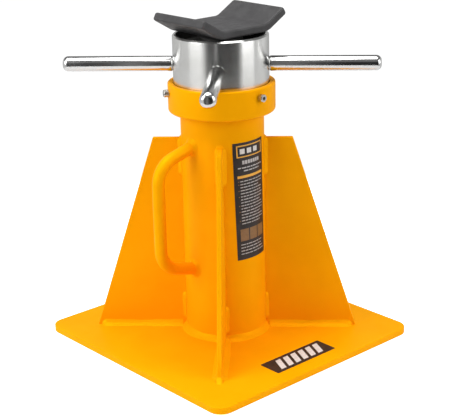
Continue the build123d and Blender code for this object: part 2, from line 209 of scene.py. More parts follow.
def turned_steel():
    """Lathe-turned nut: fine feed lines round the axis that stretch its reflections."""
    steel = Paint("turned_steel", (0.66, 0.66, 0.645), 0.22, 1.0)
    lines = steel.noise(1.0, 3, 0.7, steel.stretched((6, 6, 2200)))
    steel.use("Roughness", steel.spread(lines, 0.3, 0.7, 0.19, 0.25))
    haze = steel.spread(steel.noise(38, 4), 0.35, 0.7)
    steel.use("Base Color", steel.mix(haze, (0.64, 0.64, 0.62), (0.70, 0.70, 0.69)))
    steel.use("Normal", steel.bump(lines, 0.00001, 0.35))
    steel.set("Anisotropic", 0.88)
    steel.set("Anisotropic Rotation", 0.25)
    tangent = steel.node("ShaderNodeTangent", direction_type="RADIAL", axis="Z")
    steel.use("Tangent", tangent.outputs["Tangent"])
    return steel.material


def bright_chrome():
    """Polished bar with faint wipe marks and a faint noise bump."""
    chrome = Paint("bright_chrome", (0.62, 0.62, 0.615), 0.18, 1.0)
    smear = chrome.spread(chrome.noise(45, 5), 0.35, 0.75, 0.14, 0.23)
    chrome.use("Roughness", smear)
    chrome.use("Normal", chrome.bump(chrome.noise(90, 2), 0.00001, 0.05))
    return chrome.material


def dark_saddle():
    """Phosphated forged steel: dry, nearly black; its bevels lighter, partly scuff wear and
    partly a painted edge highlight.
    """
    skin = Paint("dark_saddle", (0.04, 0.039, 0.04), 0.5)
    mottle = skin.spread(skin.noise(70, 5, 0.6), 0.3, 0.7)
    colour = skin.mix(mottle, (0.045, 0.044, 0.045), (0.064, 0.063, 0.064))
    patches = skin.spread(skin.noise(160, 4), 0.3, 0.55, 0.4, 1.0)
    # Bevels mixed lighter: partly scuff wear, partly a painted highlight along the edges.
    scuff_and_edge_highlight = skin.math("MULTIPLY", skin.edges(1.5 * MM), patches)
    colour = skin.mix(skin.math("MULTIPLY", scuff_and_edge_highlight, 0.8), colour, (0.20, 0.195, 0.19))
    skin.use("Base Color", colour)
    skin.set("Specular IOR Level", 0.2)
    skin.use("Roughness", skin.spread(skin.noise(120, 3), 0.3, 0.7, 0.42, 0.58))
    grain = skin.bump(skin.noise(900, 3, 0.6), 0.00012, 0.5)
    skin.use("Normal", skin.bump(skin.noise(55, 3), 0.0004, 0.35, grain))
    return skin.material


def plain_metal(name, colour, rough_low, rough_high):
    """Small hardware and inner parts: mill, zinc, oiled or blackened steel, brass."""
    metal = Paint(name, colour, rough_low, 1.0)
    metal.use("Roughness", metal.spread(metal.noise(150, 4), 0.3, 0.7, rough_low, rough_high))
    tint = tuple(0.86 * part for part in colour)
    patches = metal.spread(metal.noise(90, 3), 0.35, 0.65)
    metal.use("Base Color", metal.mix(patches, tint, colour))
    metal.use("Normal", metal.bump(metal.noise(900, 3), 0.00003, 0.4))
    return metal.material


def dark_grease_and_shade():
    """Near-black grease for the nut's recess, smeared and slightly glossy; its blackness is
    partly painted shade under the saddle.
    """
    grease_and_shade = Paint("dark_grease_and_shade", (0.008, 0.008, 0.007), 0.5)
    smear = grease_and_shade.spread(grease_and_shade.noise(60, 4), 0.3, 0.7)
    grease_and_shade.use("Base Color", grease_and_shade.mix(smear, (0.005, 0.005, 0.004), (0.012, 0.011, 0.009)))
    grease_and_shade.use("Roughness", grease_and_shade.spread(grease_and_shade.noise(90, 3), 0.3, 0.7, 0.42, 0.6))
    grease_and_shade.set("Specular IOR Level", 0.25)
    grease_and_shade.use("Normal", grease_and_shade.bump(grease_and_shade.noise(120, 3), 0.0003, 0.4))
    return grease_and_shade.material


def label_film():
    """Satin vinyl film, charcoal, with faint dust."""
    film = Paint("label_film", (0.02, 0.016, 0.0155), 0.42)
    dust = film.spread(film.noise(130, 5), 0.45, 0.8)
    film.use("Base Color", film.mix(dust, (0.019, 0.0155, 0.015), (0.036, 0.03, 0.029)))
    film.set("Specular IOR Level", 0.3)
    film.use("Normal", film.bump(film.noise(300, 2), 0.00003, 0.4))
    return film.material


def ink(name, colour):
    """Screen-printed ink on the film, slightly uneven."""
    printed = Paint(name, colour, 0.5)
    worn = tuple(0.8 * part for part in colour)
    wear = printed.spread(printed.noise(400, 3), 0.3, 0.7)
    printed.use("Base Color", printed.mix(wear, worn, colour))
    printed.use("Normal", printed.bump(printed.noise(700, 2), 0.00002, 0.3))
    return printed.material


# ---------------------------------------------------------------- mesh tools

def add_piece(name, points, faces):
    mesh = bpy.data.meshes.new(name)
    mesh.from_pydata([tuple(p) for p in points], [], faces)
    mesh.validate()
    piece = bpy.data.objects.new(name, mesh)
    bpy.context.scene.collection.objects.link(piece)
    return piece


def tidy(piece, sharp=35.0):
    """Merges doubled points, turns the faces outward and shades smooth except at sharp edges."""
    work = bmesh.new()
    work.from_mesh(piece.data)
    bmesh.ops.remove_doubles(work, verts=work.verts, dist=1e-7)
    bmesh.ops.recalc_face_normals(work, faces=work.faces)
    work.to_mesh(piece.data)
    work.free()
    piece.data.shade_smooth()
    piece.data.set_sharp_from_angle(angle=math.radians(sharp))
    return piece


def finish_piece(piece, material, body, slot, *stands_for):
    piece.data.materials.append(material)
    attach(piece, body)
    if stands_for:
        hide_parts(*stands_for)


def rounded(corners, steps=6):
    """Closed outline whose corners (x, y, radius) are replaced by arcs."""
    outline = []
    count = len(corners)
    for i, (x, y, radius) in enumerate(corners):
        here = Vector((x, y))
        if radius == 0:
            outline.append(here)
            continue
        before = (Vector(corners[i - 1][:2]) - here).normalized()
        after = (Vector(corners[(i + 1) % count][:2]) - here).normalized()
        half = before.angle(after) / 2
        setback = radius / math.tan(half)
        centre = here + (before + after).normalized() * (radius / math.sin(half))
        start = here + before * setback - centre
        end = here + after * setback - centre
        turn = start.angle_signed(end)
        for k in range(steps + 1):
            angle = -turn * k / steps
            outline.append(centre + Matrix.Rotation(angle, 2) @ start)
    return outline


def lathe(name, corners, segments=160, turn=None):
    """Closed (radius, height) outline with rounded corners, turned about Z, then placed."""
    outline = rounded(corners)
    points = []
    for i in range(segments):
        angle = 2 * math.pi * i / segments
        for p in outline:
            points.append(Vector((p.x * math.cos(angle), p.x * math.sin(angle), p.y)))
    if turn is not None:
        points = [turn @ p for p in points]
    count = len(outline)
    faces = []
    for i in range(segments):
        a = i * count
        b = ((i + 1) % segments) * count
        for j in range(count):
            k = (j + 1) % count
            faces.append((a + j, b + j, b + k, a + k))
    return tidy(add_piece(name, points, faces))


def prism(name, outline, low, high, place, bevel, steps=3):
    """Flat outline thickened along its own Z, placed, with rolled edges."""
    count = len(outline)
    points = [place @ Vector((p[0], p[1], z)) for z in (low, high) for p in outline]
    faces = [tuple(range(count))[::-1], tuple(range(count, 2 * count))]
    for i in range(count):
        j = (i + 1) % count
        faces.append((i, j, count + j, count + i))
    piece = tidy(add_piece(name, points, faces))
    roll = piece.modifiers.new("rolled_edges", "BEVEL")
    roll.width = bevel
    roll.segments = steps
    roll.limit_method = "ANGLE"
    roll.angle_limit = math.radians(32)
    roll.harden_normals = True
    return piece


def bead(name, stations, seed, closed=False, pitch=None):
    """Hollow-faced weld bead with coin-like ripples.

    A station is a corner point and the two leg vectors that leave it.
    """
    pitch = pitch or BEAD_PITCH
    section_steps = 7
    hollow = 1.5
    coin_swell = 0.05
    coin_lead = 0.35
    long_wave, long_swing = 11 * MM, 0.06
    short_wave, short_swing = 4.7 * MM, 0.03
    phase = random.Random(seed).random() * 6.0
    points = []
    travel = 0.0
    for i, (corner, leg_a, leg_b) in enumerate(stations):
        if i:
            travel += (corner - stations[i - 1][0]).length
        wander = long_swing * math.sin(travel / long_wave + phase)
        wander += short_swing * math.sin(travel / short_wave + 2 * phase)
        points.append(corner)
        for j in range(section_steps + 1):
            angle = math.pi / 2 * j / section_steps
            lead = coin_lead * math.sin(2 * angle)
            coin = ((travel / pitch) + lead) % 1.0
            ripple = 1.0 + coin_swell * (1.0 - (2 * coin - 1) ** 2) * math.sin(2 * angle)
            straight = 1.0 / (math.cos(angle) + math.sin(angle))
            reach = straight ** hollow * ripple * (1.0 + wander)
            way = leg_a * math.cos(angle) + leg_b * math.sin(angle)
            points.append(corner + way * reach)
    ring = section_steps + 2
    faces = []
    last = len(stations) if closed else len(stations) - 1
    for i in range(last):
        a = i * ring
        b = ((i + 1) % len(stations)) * ring
        for j in range(ring):
            k = (j + 1) % ring
            faces.append((a + j, b + j, b + k, a + k))
    if not closed:
        faces.append(tuple(range(ring)))
        faces.append(tuple(range(last * ring, last * ring + ring))[::-1])
    return tidy(add_piece(name, points, faces), 70)


def joined(pieces, name):
    """One object made of several separate meshes."""
    base = pieces[0]
    with bpy.context.temp_override(active_object=base, selected_editable_objects=pieces):
        bpy.ops.object.join()
    base.name = name
    base.data.name = name
    return base


# ---------------------------------------------------------------- sizes, in metres

PLATE_LOW, PLATE_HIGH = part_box("base_plate")
PLATE_TOP = PLATE_HIGH.z
PLATE_CORNER = 16 * MM
PLATE_EDGE_ROUND = 0.9 * MM
COLUMN_RADIUS = 47 * MM
COLUMN_BORE = 41 * MM
COLUMN_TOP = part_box("column_tube")[1].z
COLLAR_RADIUS = 60 * MM
COLLAR_BORE = 54 * MM
COLLAR_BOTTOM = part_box("collar")[0].z
COLLAR_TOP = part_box("collar")[1].z
COLLAR_FOOT_ROUND = 3 * MM
COLLAR_RIM_ROUND = 1.6 * MM
COLLAR_BORE_ROUND = 0.8 * MM
COLLAR_WELD_LEG = 3 * MM
NUT_RADIUS = 53.4 * MM
NUT_BORE = 25.05 * MM
NUT_SPIGOT = 40.95 * MM
NUT_LOW, NUT_TOP = (corner.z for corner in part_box("lifting_nut"))
NUT_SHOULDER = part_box("bearing_upper_washer")[1].z
NUT_RECESS = 49.5 * MM
NUT_RECESS_DEPTH = 12 * MM
NUT_CHAMFER = 1.8 * MM
NUT_CHAMFER_ROUND = 0.5 * MM
NUT_EDGE_ROUND = 0.4 * MM
GROOVE_MIDDLE = 292.5 * MM
GROOVE_HALF = 3 * MM
GROOVE_DEPTH = 5 * MM
BAR_RADIUS = 8.5 * MM
BAR_HEIGHT = 322 * MM
BAR_START = 46 * MM
BAR_SEAT = 52.6 * MM
BAR_SPIGOT_RADIUS = 5 * MM
BAR_ROOT_ROUND = 3 * MM
BAR_REACH = 176.5 * MM
BAR_TIP_ROUND = 6 * MM
BAR_TURN = {"front": 223.9, "right": 313.9, "rear": 43.9, "left": 133.9}
GUSSET_TURN = {"front": 225.0, "right": 315.0, "rear": 45.0, "left": 135.0}
GUSSET_HALF = 2.5 * MM
GUSSET_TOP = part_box("gusset_front")[1].z
GUSSET_TOP_REACH = 79 * MM
GUSSET_FOOT_REACH = 152.5 * MM
GUSSET_SINK = 0.6 * MM
BEAD_PITCH = 3.4 * MM
RING_BEAD_PITCH = 3.6 * MM
FOOT_LEG = 6 * MM
BASE_LEG = 6 * MM
STITCH_LEG = 4 * MM
TOP_BEAD_LEG = 3 * MM
TOP_BEAD_WRAP = 2.2 * MM
BASE_BEAD_END = 148.5 * MM
STITCHES = ((16.5 * MM, 50 * MM), (194 * MM, 238 * MM))
TOE_BEAD_PLACE = "front"
TOE_BEAD_LEG = 5 * MM
TOE_BEAD_WRAP = 1.5 * MM
HANDLE_ROD = 7 * MM
HANDLE_REACH = 95 * MM
HANDLE_MIDDLE = 163.3 * MM
HANDLE_ROOT_HALF = 72.5 * MM
HANDLE_BEND_HALF = 59 * MM
HANDLE_BEND = 28 * MM
HANDLE_WELD = 3.5 * MM
SCREW_RADIUS = 25 * MM
SCREW_LEAD = 8 * MM
SCREW_HEAD = 8 * MM
SCREW_ROOT = 20.5 * MM
SCREW_TAIL = 18 * MM
SCREW_LAP = 0.2 * MM
SCREW_EDGE_ROUND = 0.8 * MM
SCREW_TAIL_ROUND = 0.6 * MM
SCREW_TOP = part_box("saddle")[0].z
THREAD_LAND = 0.366
THREAD_FLANK = math.radians(15)
SADDLE_LOW, SADDLE_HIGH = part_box("saddle")
SADDLE_THICKNESS = 9.5 * MM
SADDLE_FLAT_HALF = 26 * MM
SADDLE_BEND = 18 * MM
SADDLE_WING = 26 * MM
SADDLE_WING_TURN = math.radians(30)
SADDLE_EDGE_ROUND = 2.5 * MM
SADDLE_WELD_LEG = 4.6 * MM
LABEL_HEIGHT = 137 * MM
LABEL_WIDTH = 43.5 * MM
LABEL_MIDDLE = 174 * MM
LABEL_LEAN = math.radians(1.8)
FILM = 0.3 * MM
FILM_EDGE_ROUND = 0.08 * MM
FILM_CORNER = 1.5 * MM
INK = 0.04 * MM
UPRIGHT = Matrix(((1, 0, 0, 0), (0, 0, -1, 0), (0, 1, 0, 0), (0, 0, 0, 1)))


# ---------------------------------------------------------------- the welded stand

def build_plate(material):
    corners = [
        (PLATE_LOW.x, PLATE_LOW.y, PLATE_CORNER),
        (PLATE_HIGH.x, PLATE_LOW.y, PLATE_CORNER),
        (PLATE_HIGH.x, PLATE_HIGH.y, PLATE_CORNER),
        (PLATE_LOW.x, PLATE_HIGH.y, PLATE_CORNER),
    ]
    outline = rounded(corners, 14)
    plate = prism("base_plate_sheet", outline, 0, PLATE_TOP, Matrix.Identity(4), PLATE_EDGE_ROUND)
    finish_piece(plate, material, "stand", "yellow_paint", "base_plate")


def build_column(material):
    corners = [
        (COLUMN_BORE, PLATE_TOP, 0),
        (COLUMN_RADIUS, PLATE_TOP, 0),
        (COLUMN_RADIUS, COLUMN_TOP, 0),
        (COLUMN_BORE, COLUMN_TOP, 0),
    ]
    column = lathe("column", corners)
    finish_piece(column, material, "stand", "yellow_paint", "column_tube")
    corners = [
        (COLUMN_RADIUS, COLLAR_BOTTOM, 0),
        (COLLAR_RADIUS, COLLAR_BOTTOM, COLLAR_FOOT_ROUND),
        (COLLAR_RADIUS, COLLAR_TOP, COLLAR_RIM_ROUND),
        (COLLAR_BORE, COLLAR_TOP, COLLAR_BORE_ROUND),
        (COLLAR_BORE, COLUMN_TOP, COLLAR_BORE_ROUND),
        (COLUMN_RADIUS, COLUMN_TOP, 0),
    ]
    collar = lathe("collar_cup", corners)
    finish_piece(collar, material, "stand", "yellow_paint", "collar")


def build_gusset(place, turn, material):
    """Web on the gusset's upright plane, its foot and top run a little into the tube's wall."""
    inner = COLUMN_RADIUS - GUSSET_SINK
    outline = [
        (inner, PLATE_TOP),
        (GUSSET_FOOT_REACH, PLATE_TOP),
        (GUSSET_TOP_REACH, GUSSET_TOP),
        (inner, GUSSET_TOP),
    ]
    lay = Matrix.Rotation(math.radians(turn), 4, "Z") @ UPRIGHT
    name = "gusset_plate_" + place
    plate = prism(name, outline, -GUSSET_HALF, GUSSET_HALF, lay, PLATE_EDGE_ROUND)
    finish_piece(plate, material, "stand", "yellow_paint", "gusset_" + place)


def spaced(start, end, step=0.7 * MM):
    count = max(2, round(abs(end - start) / step))
    return [start + (end - start) * i / count for i in range(count + 1)]


def tapered(stations, run=5.0 * MM):
    """Draws a bead's legs in over a short run at both its ends."""
    end_size = 0.25
    first = stations[0][0]
    last = stations[-1][0]
    result = []
    for corner, leg_a, leg_b in stations:
        near = min((corner - first).length, (corner - last).length)
        size = end_size + (1 - end_size) * math.sqrt(min(1.0, near / run))
        result.append((corner, leg_a * size, leg_b * size))
    return result


def build_gusset_welds(place, turn, material):
    spin = Matrix.Rotation(math.radians(turn), 3, "Z")
    half = GUSSET_HALF
    edge = math.sqrt(COLUMN_RADIUS ** 2 - half ** 2)
    lean = half / COLUMN_RADIUS
    pieces = []
    seed = int(turn)
    for side in (-1, 1):
        across = spin @ Vector((0, side, 0))
        along = spin @ Vector((1, 0, 0))
        tangent = spin @ Vector((-lean, side, 0))
        run = spaced(COLUMN_RADIUS, BASE_BEAD_END)
        foot = [
            (
                spin @ Vector((x, side * half, PLATE_TOP)),
                across * BASE_LEG,
                Vector((0, 0, BASE_LEG)),
            )
            for x in run
        ]
        seed += 1
        pieces.append(bead("foot", tapered(foot), seed=seed))
        for low, high in STITCHES:
            stitch = [
                (spin @ Vector((edge, side * half, z)), along * STITCH_LEG, tangent * STITCH_LEG)
                for z in spaced(low, high)
            ]
            seed += 1
            pieces.append(bead("stitch", tapered(stitch, 4 * MM), seed=seed))
    over = []
    for y in spaced(-half - TOP_BEAD_WRAP, half + TOP_BEAD_WRAP, 0.5 * MM):
        corner = Vector((math.sqrt(COLUMN_RADIUS ** 2 - y ** 2), y, GUSSET_TOP))
        over.append((spin @ corner, along * TOP_BEAD_LEG, Vector((0, 0, TOP_BEAD_LEG))))
    pieces.append(bead("over", tapered(over, 3 * MM), seed=seed + 2))
    if place == TOE_BEAD_PLACE:
        slope = Vector((GUSSET_TOP_REACH - GUSSET_FOOT_REACH, 0, GUSSET_TOP - PLATE_TOP))
        slope.normalize()
        toe = [
            (
                spin @ Vector((GUSSET_FOOT_REACH, y, PLATE_TOP)),
                along * TOE_BEAD_LEG,
                spin @ slope * TOE_BEAD_LEG,
            )
            for y in spaced(-half - TOE_BEAD_WRAP, half + TOE_BEAD_WRAP, 0.4 * MM)
        ]
        pieces.append(bead("toe", tapered(toe, 2 * MM), seed=seed + 1))
    group = joined(pieces, "weld_beads_" + place)
    finish_piece(group, material, "stand", "yellow_paint", "gusset_welds_" + place)


def ring_bead(name, radius, height, leg_out, leg_up, seed, steps=420):
    stations = []
    for i in range(steps):
        angle = 2 * math.pi * i / steps
        out = Vector((math.cos(angle), math.sin(angle), 0))
        corner = out * radius + Vector((0, 0, height))
        stations.append((corner, out * leg_out, Vector((0, 0, leg_up))))
    round_trip = 2 * math.pi * radius
    pitch = round_trip / round(round_trip / RING_BEAD_PITCH)
    return bead(name, stations, seed, closed=True, pitch=pitch)


def build_ring_welds(material, saddle_material):
    leg = FOOT_LEG
    foot = ring_bead("column_foot_bead", COLUMN_RADIUS, PLATE_TOP, leg, leg, 3)
    finish_piece(foot, material, "stand", "yellow_paint", "column_foot_weld")
    leg = COLLAR_WELD_LEG
    under = ring_bead("collar_bead", COLUMN_RADIUS, COLLAR_BOTTOM, leg, -leg, 4)
    finish_piece(under, material, "stand", "yellow_paint", "collar_weld")
    leg = SADDLE_WELD_LEG
    top = ring_bead("saddle_bead", SCREW_RADIUS, SCREW_TOP, leg, -leg, 5, 240)
    finish_piece(top, saddle_material, "lift", "dark_saddle", "saddle_weld")


def handle_corners():
    root = (COLUMN_RADIUS + COLUMN_BORE) / 2
    return [
        Vector((-root, 0, HANDLE_MIDDLE + HANDLE_ROOT_HALF)),
        Vector((-HANDLE_REACH, 0, HANDLE_MIDDLE + HANDLE_BEND_HALF)),
        Vector((-HANDLE_REACH, 0, HANDLE_MIDDLE - HANDLE_BEND_HALF)),
        Vector((-root, 0, HANDLE_MIDDLE - HANDLE_ROOT_HALF)),
    ]


def bent_path(corners, radius, steps=16):
    """Straight runs joined by tangent arcs, as points."""
    path = [corners[0]]
    for before, here, after in zip(corners, corners[1:], corners[2:]):
        back = (before - here).normalized()
        on = (after - here).normalized()
        half = back.angle(on) / 2
        centre = here + (back + on).normalized() * (radius / math.sin(half))
        start = here + back * (radius / math.tan(half)) - centre
        end = here + on * (radius / math.tan(half)) - centre
        axis = start.cross(end).normalized()
        turn = start.angle(end)
        for k in range(steps + 1):
            path.append(centre + Matrix.Rotation(turn * k / steps, 3, axis) @ start)
    path.append(corners[-1])
    return path


def swept_rod(name, path, radius, segments=40):
    """Round bar along a path that lies in the XZ plane."""
    side = Vector((0, 1, 0))
    points = []
    for i, p in enumerate(path):
        a = path[max(i - 1, 0)]
        b = path[min(i + 1, len(path) - 1)]
        outward = (b - a).normalized().cross(side)
        for j in range(segments):
            angle = 2 * math.pi * j / segments
            points.append(p + (outward * math.cos(angle) + side * math.sin(angle)) * radius)
    faces = [tuple(range(segments))]
    for i in range(len(path) - 1):
        for j in range(segments):
            k = (j + 1) % segments
            a = i * segments
            b = a + segments
            faces.append((a + j, a + k, b + k, b + j))
    faces.append(tuple(range((len(path) - 1) * segments, len(path) * segments)))
    return tidy(add_piece(name, points, faces))


def leg_weld(root, bend, seed, steps=150):
    """Bead round a handle leg, seated on the column's curved wall."""
    out = (bend - root).normalized()
    side = Vector((0, 1, 0))
    up = out.cross(side)

    def on_column(offset):
        start = root + offset
        depth = math.sqrt(COLUMN_RADIUS ** 2 - start.y ** 2)
        return start + out * ((-depth - start.x) / out.x)

    stations = []
    for i in range(steps):
        angle = 2 * math.pi * i / steps
        across = side * math.cos(angle) + up * math.sin(angle)
        corner = on_column(across * HANDLE_ROD)
        toe = on_column(across * (HANDLE_ROD + HANDLE_WELD))
        stations.append((corner, toe - corner, out * HANDLE_WELD))
    return bead("leg_bead", stations, seed, closed=True)


def build_handle(material):
    corners = handle_corners()
    grip = swept_rod("handle_rod", bent_path(corners, HANDLE_BEND), HANDLE_ROD)
    finish_piece(grip, material, "stand", "yellow_paint", "carry_handle")
    beads = [leg_weld(corners[0], corners[1], 21), leg_weld(corners[3], corners[2], 22)]
    finish_piece(joined(beads, "handle_beads"), material, "stand", "yellow_paint", "handle_welds")


# ---------------------------------------------------------------- nut, bars, screw and saddle

def build_nut(material, grease_and_shade):
    groove_top = GROOVE_MIDDLE + GROOVE_HALF
    groove_low = GROOVE_MIDDLE - GROOVE_HALF
    recess = NUT_TOP - NUT_RECESS_DEPTH
    groove = NUT_RADIUS - GROOVE_DEPTH
    flat = NUT_RADIUS - NUT_CHAMFER
    soft = NUT_EDGE_ROUND
    corners = [
        (NUT_BORE, NUT_LOW, soft),
        (NUT_SPIGOT, NUT_LOW, soft),
        (NUT_SPIGOT, NUT_SHOULDER, soft),
        (NUT_RADIUS, NUT_SHOULDER, soft),
        (NUT_RADIUS, groove_low, soft),
        (groove, groove_low, soft),
        (groove, groove_top, soft),
        (NUT_RADIUS, groove_top, soft),
        (NUT_RADIUS, NUT_TOP - NUT_CHAMFER, NUT_CHAMFER_ROUND),
        (flat, NUT_TOP, NUT_CHAMFER_ROUND),
        (NUT_RECESS, NUT_TOP, soft),
        (NUT_RECESS, recess, soft),
        (NUT_BORE, recess, soft),
    ]
    nut = lathe("nut_ring", corners, 192)
    finish_piece(nut, material, "nut", "turned_steel", "lifting_nut")
    # The recess faces take the near-black material: partly grease, partly painted shade under the
    # saddle.
    nut.data.materials.append(grease_and_shade)
    slack = 0.1 * MM
    for face in nut.data.polygons:
        below_rim = recess - slack < face.center.z < NUT_TOP - 5 * slack
        if below_rim and face.center.xy.length < NUT_RECESS + slack:
            face.material_index = 1


def build_bar(place, turn, material):
    corners = [
        (0, BAR_START, 0),
        (BAR_SPIGOT_RADIUS, BAR_START, 0),
        (BAR_SPIGOT_RADIUS, BAR_SEAT, 0),
        (BAR_RADIUS, BAR_SEAT, BAR_ROOT_ROUND),
        (BAR_RADIUS, BAR_REACH, BAR_TIP_ROUND),
        (0, BAR_REACH, 0),
    ]
    lay = Matrix.Translation((0, 0, BAR_HEIGHT))
    lay = lay @ Matrix.Rotation(math.radians(turn), 4, "Z") @ Matrix.Rotation(math.pi / 2, 4, "Y")
    bar = lathe("bar_" + place, corners, 56, lay)
    finish_piece(bar, material, "nut", "bright_chrome", "tommy_bar_" + place)


def thread(name, low, high, crest, root, lead, segments=72):
    """Right-hand trapezoidal thread between two heights, as one closed mesh."""
    flank = (crest - root) * math.tan(THREAD_FLANK)
    land = THREAD_LAND * lead
    gap = lead - land - 2 * flank
    profile = [(0, root), (gap, root), (gap + flank, crest), (gap + flank + land, crest)]
    turns = math.ceil((high - low) / lead) + 3
    start = low - 2 * lead
    count = turns * segments
    points = []
    for t in range(count + 1):
        angle = 2 * math.pi * t / segments
        rise = start + lead * t / segments
        for offset, radius in profile:
            x = radius * math.cos(angle)
            y = radius * math.sin(angle)
            points.append(Vector((x, y, rise + offset)))
    faces = []
    for t in range(count):
        a = 4 * t
        for j in range(3):
            faces.append((a + j, a + 4 + j, a + 5 + j, a + 1 + j))
        if t + segments + 1 <= count:
            b = 4 * (t + segments)
            faces.append((a + 3, a + 7, b + 4, b))
    piece = add_piece(name, points, faces)
    work = bmesh.new()
    work.from_mesh(piece.data)
    for height, side in ((low, -1), (high, 1)):
        everything = work.verts[:] + work.edges[:] + work.faces[:]
        bmesh.ops.bisect_plane(
            work,
            geom=everything,
            plane_co=(0, 0, height),
            plane_no=(0, 0, side),
            clear_outer=True,
        )
        ends = [e for e in work.edges if e.is_boundary]
        rim = [e for e in ends if all(abs(v.co.z - height) < 1e-6 for v in e.verts)]
        bmesh.ops.contextual_create(work, geom=rim)
    work.to_mesh(piece.data)
    work.free()
    return tidy(piece, 30)


def build_screw(material):
    thread_top = SCREW_TOP - SCREW_HEAD
    ring_low, ring_high = (corner.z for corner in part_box("guide_ring"))
    turned = thread("threads", ring_high, thread_top, SCREW_RADIUS, SCREW_ROOT, SCREW_LEAD)
    head = lathe("head", [
        (0, thread_top - SCREW_LAP, 0),
        (SCREW_RADIUS, thread_top - SCREW_LAP, SCREW_EDGE_ROUND),
        (SCREW_RADIUS, SCREW_TOP, 0),
        (0, SCREW_TOP, 0),
    ], 96)
    tail = lathe("tail", [
        (0, ring_low, 0),
        (SCREW_TAIL, ring_low, SCREW_TAIL_ROUND),
        (SCREW_TAIL, ring_high + SCREW_LAP, 0),
        (0, ring_high + SCREW_LAP, 0),
    ], 96)
    screw = joined([turned, head, tail], "screw_thread")
    finish_piece(screw, material, "lift", "screw_steel", "lifting_screw")


def saddle_side(radius):
    """Half of the trough's outline: an arc round the bend's centre, then the straight wing."""
    steps = 10
    centre = SADDLE_THICKNESS + SADDLE_BEND
    turn = SADDLE_WING_TURN
    arc = [
        (
            SADDLE_FLAT_HALF + radius * math.sin(turn * k / steps),
            centre - radius * math.cos(turn * k / steps),
        )
        for k in range(steps + 1)
    ]
    x, z = arc[-1]
    return arc + [(x + SADDLE_WING * math.cos(turn), z + SADDLE_WING * math.sin(turn))]


def build_saddle(material):
    right = saddle_side(SADDLE_BEND + SADDLE_THICKNESS) + saddle_side(SADDLE_BEND)[::-1]
    left = [(-x, z) for x, z in right[::-1]]
    half = SADDLE_HIGH.y
    lay = Matrix.Translation((0, 0, SADDLE_LOW.z)) @ UPRIGHT
    trough = prism("saddle_trough", right + left, -half, half, lay, SADDLE_EDGE_ROUND, 2)
    finish_piece(trough, material, "lift", "dark_saddle", "saddle")


# ---------------------------------------------------------------- labels

def wrapped_patch(left, right, low, high, radius, thickness):
    """Thin closed slab wrapped on the column's -Y side, with the label's lean.

    Left and right are lengths along the wall, low and high are heights.
    """
    facet = 1.5 * MM
    steps = max(1, round((right - left) / facet))
    points = []
    for i in range(steps + 1):
        along = left + (right - left) * i / steps
        for r in (radius, radius + thickness):
            for z in (low, high):
                rise = z - LABEL_MIDDLE
                across = along * math.cos(LABEL_LEAN) - rise * math.sin(LABEL_LEAN)
                leant = rise * math.cos(LABEL_LEAN) + along * math.sin(LABEL_LEAN)
                angle = across / COLUMN_RADIUS - math.pi / 2
                points.append((r * math.cos(angle), r * math.sin(angle), LABEL_MIDDLE + leant))
    faces = [(0, 1, 3, 2)]
    for i in range(steps):
        a = 4 * i
        b = a + 4
        faces += [(a, b, b + 1, a + 1), (a + 2, a + 3, b + 3, b + 2)]
        faces += [(a, a + 2, b + 2, b), (a + 1, b + 1, b + 3, a + 3)]
    a = 4 * steps
    faces.append((a, a + 2, a + 3, a + 1))
    return points, faces


def gather(name, patches):
    points = []
    faces = []
    for patch_points, patch_faces in patches:
        start = len(points)
        points += patch_points
        faces += [tuple(start + i for i in face) for face in patch_faces]
    return tidy(add_piece(name, points, faces), 30)


